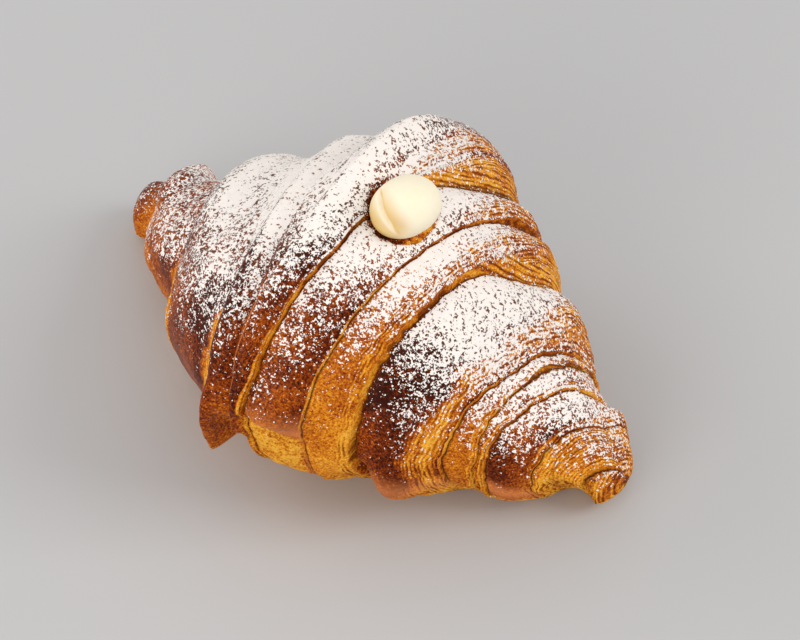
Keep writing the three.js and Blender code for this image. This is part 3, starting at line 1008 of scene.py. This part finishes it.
class Shader:
    """Short hand for building one material's nodes."""

    def __init__(self, name):
        self.material = bpy.data.materials.new(name)
        self.material.use_nodes = True
        self.tree = self.material.node_tree
        self.surface = self.tree.nodes["Principled BSDF"]
        self.place = self.node("ShaderNodeTexCoord").outputs["Object"]

    def node(self, kind):
        return self.tree.nodes.new(kind)

    def plug(self, socket, value):
        if isinstance(value, bpy.types.NodeSocket):
            self.tree.links.new(value, socket)
        else:
            socket.default_value = value

    def field(self, name, output="Fac"):
        node = self.node("ShaderNodeAttribute")
        node.attribute_name = name
        return node.outputs[output]

    def scale(self, vector, factors):
        node = self.node("ShaderNodeVectorMath")
        node.operation = "MULTIPLY"
        self.plug(node.inputs[0], vector)
        self.plug(node.inputs[1], factors)
        return node.outputs["Vector"]

    def noise(self, size, detail=2.0, roughness=0.55, vector=None):
        """Noise from 0 to 1, of a size in millimetres or in a vector's own units."""
        node = self.node("ShaderNodeTexNoise")
        self.plug(node.inputs["Vector"], self.place if vector is None else vector)
        node.inputs["Scale"].default_value = 1 / (size * MM) if vector is None else 1 / size
        node.inputs["Detail"].default_value = detail
        node.inputs["Roughness"].default_value = roughness
        return node.outputs["Fac"]

    def cells(self, size, vector):
        """A random number from 0 to 1 in each of many small cells."""
        node = self.node("ShaderNodeTexVoronoi")
        self.plug(node.inputs["Vector"], vector)
        node.inputs["Scale"].default_value = 1 / size
        split = self.node("ShaderNodeSeparateColor")
        self.plug(split.inputs["Color"], node.outputs["Color"])
        return split.outputs["Red"]

    def math(self, operation, a, b=0.0, clamp=False):
        node = self.node("ShaderNodeMath")
        node.operation = operation
        node.use_clamp = clamp
        self.plug(node.inputs[0], a)
        self.plug(node.inputs[1], b)
        return node.outputs["Value"]

    def add(self, a, b, clamp=False):
        return self.math("ADD", a, b, clamp)

    def times(self, a, b):
        return self.math("MULTIPLY", a, b)

    def blend(self, share, a, b):
        return self.add(a, self.times(self.math("SUBTRACT", b, a), share))

    def sway(self, value, amount):
        """Noise turned into a change of plus or minus amount about its middle."""
        return self.times(self.math("SUBTRACT", value, 0.5), amount)

    def remap(self, value, low, high, to_low=0.0, to_high=1.0):
        node = self.node("ShaderNodeMapRange")
        node.interpolation_type = "SMOOTHSTEP"
        for key, number in (("Value", value), ("From Min", low), ("From Max", high),
                            ("To Min", to_low), ("To Max", to_high)):
            self.plug(node.inputs[key], number)
        return node.outputs["Result"]

    def ramp(self, value, stops):
        node = self.node("ShaderNodeValToRGB")
        elements = node.color_ramp.elements
        while len(elements) < len(stops):
            elements.new(0.5)
        for element, (position, rgb) in zip(elements, stops):
            element.position = position
            element.color = linear(rgb)
        self.plug(node.inputs["Fac"], value)
        return node.outputs["Color"]

    def cover(self, share, colour, rgb):
        """Colour with a share of it covered by another."""
        node = self.node("ShaderNodeMix")
        node.data_type = "RGBA"
        self.plug(node.inputs["Factor"], share)
        for key, value in (("A", colour), ("B", linear(rgb))):
            socket = next(s for s in node.inputs if s.name == key and s.type == "RGBA")
            self.plug(socket, value)
        return next(s for s in node.outputs if s.type == "RGBA")

    def bump(self, height, depth, strength, normal=None):
        """Bumps of a depth in millimetres, on top of those of another normal."""
        node = self.node("ShaderNodeBump")
        node.inputs["Strength"].default_value = strength
        node.inputs["Distance"].default_value = depth * MM
        self.plug(node.inputs["Height"], height)
        if normal is not None:
            self.plug(node.inputs["Normal"], normal)
        return node.outputs["Normal"]

    def finish(self, **sockets):
        for key, value in sockets.items():
            self.plug(self.surface.inputs[key.replace("_", " ")], value)
        return self.material


def layer_lines(shader, strip):
    """Stacked layers, from 0 in a gap to 1 on a ridge, with broken gaps."""
    squash, amount = LAYER_WARP
    warp = shader.sway(shader.noise(1.0, roughness=0.5, vector=shader.scale(strip, squash)), amount)
    along = shader.node("ShaderNodeSeparateXYZ")
    shader.plug(along.inputs["Vector"], strip)
    phase = shader.add(shader.math("DIVIDE", along.outputs["X"], LAYER_PITCH), warp)
    ridge = shader.times(shader.math("PINGPONG", phase, 0.5), 2.0)
    squash, amount = LAYER_BREAKS
    broken = shader.noise(1.0, roughness=0.6, vector=shader.scale(strip, squash))
    return shader.add(ridge, shader.sway(broken, amount), clamp=True)


def powder_level(shader, squash):
    """Level of the powder, in clumps that are long where squash is below 1."""
    place = shader.scale(shader.place, tuple(factor / MM for factor in squash))
    specks = shader.times(shader.cells(SPECK_SIZE, place), GRAIN_SPREAD)
    return shader.add(shader.noise(1.0, roughness=0.6, vector=place), specks)


def baked_colour(shader, skin, layers, grain, crumb):
    """Colour of the crust under its coat of sugar."""
    patches = shader.noise(7.0, detail=3.0)
    flecks = shader.noise(0.42, roughness=0.6)
    tone = shader.add(skin["gold"], shader.sway(patches, 0.5))
    tone = shader.add(tone, shader.sway(grain, 1.0))
    tone = shader.add(tone, shader.sway(flecks, 1.0))
    tone = shader.add(tone, shader.times(skin["rough"], shader.sway(crumb, 1.4)))
    tone = shader.add(tone, shader.times(skin["edge"], shader.sway(layers, 0.3)), clamp=True)
    gap = shader.times(skin["lines"], shader.remap(layers, 0.32, 0.05))
    colour = shader.ramp(tone, CRUST_TONES)
    # Paler hem skin with a painted sheen, and painted highlights along lips
    colour = shader.cover(shader.times(skin["hem"], 0.7), colour, HEM_TAN)
    colour = shader.cover(shader.times(gap, 0.7), colour, LAYER_GAP)
    # Painted shade in creases and in the hole's well
    colour = shader.cover(shader.times(skin["crease"], 0.85), colour, CREASE_BROWN)
    return shader.cover(skin["veil"], colour, VEIL_TAN)


def crust_material():
    """Baked crust under a coat of fine sugar."""
    shader = Shader("crust")
    names = ("gold", "edge", "rough", "lines", "hem", "crease", "veil", "side", "limit")
    skin = {name: shader.field(name) for name in names}
    edge, rough, limit = skin["edge"], skin["rough"], skin["limit"]
    layers = layer_lines(shader, shader.field("strip", "Vector"))
    grain = shader.noise(0.8, detail=3.0, roughness=0.6)
    crumb = shader.noise(0.9, detail=3.0, roughness=0.65)
    level, side_level = (powder_level(shader, squash) for squash in (EVEN_CLUMPS, SIDE_CLUMPS))
    powder = shader.blend(skin["side"], level, side_level)
    heaped = shader.add(powder, shader.times(edge, shader.sway(layers, 0.15)))
    bottom, top = shader.math("SUBTRACT", limit, COAT_BORDER), shader.add(limit, COAT_BORDER)
    sugar = shader.remap(heaped, bottom, top)
    colour = shader.cover(sugar, baked_colour(shader, skin, layers, grain, crumb), SUGAR_WHITE)
    gloss = shader.remap(shader.math("MAXIMUM", skin["gold"], rough), 0.2, 0.9, 0.36, 0.62)
    roughness = shader.math("MAXIMUM", gloss, shader.times(sugar, 0.95))
    relief = shader.bump(grain, depth=0.16, strength=0.5)
    relief = shader.bump(shader.times(rough, crumb), depth=0.9, strength=0.8, normal=relief)
    relief = shader.bump(shader.times(edge, layers), depth=0.14, strength=0.8, normal=relief)
    heap = shader.times(sugar, shader.add(powder, 0.6))
    relief = shader.bump(heap, depth=0.14, strength=0.5, normal=relief)
    return shader.finish(Base_Color=colour, Roughness=roughness, Normal=relief, Specular_IOR_Level=0.06)


def tinted(name, size, detail, tints, roughness):
    """Plain material that changes slowly between two tints."""
    shader = Shader(name)
    tint = shader.ramp(shader.noise(size, detail), tints)
    return shader.finish(Base_Color=tint, Roughness=roughness)


def cream_material():
    shader = Shader("cream")
    # Painted light and shade on the cream, with a little random tone
    pale = shader.add(shader.field("pale"), shader.sway(shader.noise(6.0), 0.2), clamp=True)
    tint = shader.ramp(pale, CREAM_TINTS)
    relief = shader.bump(shader.noise(1.6, detail=3.0, roughness=0.5), depth=0.08, strength=0.35)
    return shader.finish(Base_Color=tint, Roughness=0.62, Normal=relief, Subsurface_Weight=0.35,
                         Subsurface_Radius=(0.004, 0.0026, 0.0012), Subsurface_Scale=1.0)


# Stage

def camera_axes():
    """Right, up and back directions of the photograph's camera before it is re-aimed."""
    azimuth, elevation = math.radians(CAMERA_AZIMUTH), math.radians(CAMERA_ELEVATION)
    right = Vector((math.cos(azimuth), math.sin(azimuth), 0))
    back = Vector((math.sin(azimuth) * math.cos(elevation),
                   -math.cos(azimuth) * math.cos(elevation), math.sin(elevation)))
    return right, back.cross(right), back


def add_camera():
    """Camera at the photograph's place, aimed through the middle of its frame."""
    right, up, back = camera_axes()
    place = Vector(CAMERA_TARGET) + back * CAMERA_DISTANCE
    across = FRAME_PIXELS[0] / 2 - PRINCIPAL_PIXEL[0]
    down = FRAME_PIXELS[1] / 2 - PRINCIPAL_PIXEL[1]
    aim = (-back * FOCAL_PIXELS + right * across - up * down).normalized()
    side = (right - aim * aim.dot(right)).normalized()
    facing = Matrix((side, side.cross(aim), -aim)).transposed()
    data = bpy.data.cameras.new("camera")
    data.sensor_width = SENSOR_WIDTH
    data.lens = FOCAL_PIXELS / FRAME_PIXELS[0] * SENSOR_WIDTH
    camera = bpy.data.objects.new("camera", data)
    camera.matrix_world = Matrix.Translation(place * MM) @ facing.to_4x4()
    bpy.context.scene.collection.objects.link(camera)
    bpy.context.scene.camera = camera


def add_lamp(name, place, size, power):
    data = bpy.data.lights.new(name, "AREA")
    data.size = size
    data.energy = power
    data.color = LAMP_COLOUR
    lamp = bpy.data.objects.new(name, data)
    lamp.location = place
    lamp.rotation_euler = (Vector(LAMP_AIM) - lamp.location).to_track_quat("-Z", "Y").to_euler()
    bpy.context.scene.collection.objects.link(lamp)


def add_stage():
    corners = np.array([(-1, -1, 0), (1, -1, 0), (1, 1, 0), (-1, 1, 0)])
    mesh = array_mesh("floor", FLOOR_HALF * corners, np.array([(0, 1, 2), (0, 2, 3)]))
    material = tinted("studio_floor", 400.0, 2.0, FLOOR_TINTS, roughness=0.7)
    add_object("floor", mesh, material)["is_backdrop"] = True
    world = bpy.data.worlds.new("studio")
    world.use_nodes = True
    sky = world.node_tree.nodes["Background"]
    sky.inputs["Color"].default_value = (1.0, 1.0, 1.0, 1.0)
    sky.inputs["Strength"].default_value = SKY_STRENGTH
    bpy.context.scene.world = world
    for lamp in LAMPS:
        add_lamp(*lamp)


# Assembly

def with_ends(grid):
    """A grid's values in vertex order, with those of the two end points."""
    flat = grid.reshape(-1, *grid.shape[2:])
    return np.concatenate([flat, grid[[0, -1], 0]])


def add_crust():
    """Crust with its coat of sugar, its surface, and the share of it that sugar hides."""
    points, fields, strip, dust = crust_grid()
    mesh = grid_mesh("crust", points)
    vertices, normals, triangles = mesh_arrays(mesh)
    fields = {name: with_ends(values) for name, values in fields.items()}
    sky = sky_share(vertices, normals, triangles)
    cover = sugar_cover(vertices, normals, sky, fields, with_ends(dust))
    fields["limit"] = powder_limit(cover * lerp(COAT_THIN, 1, cover))
    fields["veil"] = VEIL * cover ** VEIL_POWER
    fields["side"] = smoothstep(-normals[:, 0], *SIDE_FACING)
    fields["strip"] = with_ends(strip)
    for name, values in fields.items():
        store_field(mesh, name, values)
    piece = add_object("croissant_crust", mesh, crust_material())
    return piece, (vertices, normals, triangles), cover


def dress(piece, slot, node=None):
    """Fixes a piece to the one body and hides the node that it replaces; slot is not used."""
    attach(piece, "root")
    if node:
        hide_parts(node)


def main():
    add_camera()
    add_stage()
    crust, surface, cover = add_crust()
    dress(crust, "crust", "croissant")
    sugar = tinted("sugar", 1.2, 1.0, GRAIN_TINTS, roughness=0.9)
    weight = loose_share(surface[1], cover)
    for name, kind, count, sizes, seed in GRAIN_KINDS:
        dress(scatter_grains(name, surface, weight, kind, count, sizes, seed, sugar), "sugar")
    dress(add_object("cream_dollop", cream_mesh(), cream_material()), "cream", "cream")
    bpy.context.scene.view_settings.view_transform = "Standard"


main()
size = {"cad": [list(corner) for corner in CAD_BOX], "visual": [list(corner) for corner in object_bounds()]}
